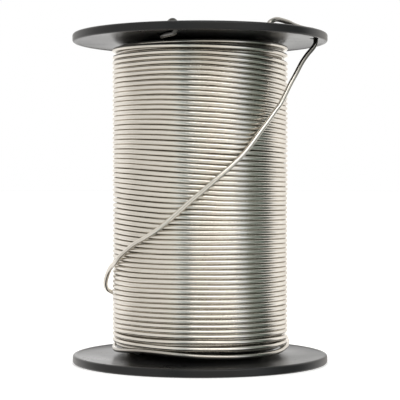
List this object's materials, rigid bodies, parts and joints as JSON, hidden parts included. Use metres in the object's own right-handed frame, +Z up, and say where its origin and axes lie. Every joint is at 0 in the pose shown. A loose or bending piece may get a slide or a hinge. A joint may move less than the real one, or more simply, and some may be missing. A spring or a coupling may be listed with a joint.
{
  "type": "solder wire spool",
  "caption": "Upright reel of silver solder wire: black moulded flanges on a hidden barrel, wire in level layers, its outer end drawn up the front and tied off through the upper flange.",
  "frame": {"origin": "centre of the lower flange's outer face, which the reel stands on", "axes": "+Z up along the reel's axis towards the upper flange, -Y the front, where the wire's outer end crosses the winding"},
  "size_m": [0.055, 0.055, 0.0723],
  "materials": {
    "reel_plastic": "satin",
    "solder": "satin",
    "flux": "gloss"
  },
  "bodies": {
    "root": {"upper_flange": "reel_plastic", "lower_flange": "reel_plastic", "barrel": "reel_plastic", "wire_layer_1": "solder", "wire_layer_2": "solder", "wire_layer_3": "solder", "wire_layer_4": "solder", "wire_layer_5": "solder", "wire_layer_6": "solder", "wire_layer_7": "solder", "wire_start": "solder", "wire_tail": "solder", "start_flux_core": "flux", "tail_flux_core": "flux"}
  },
  "joints": []
}
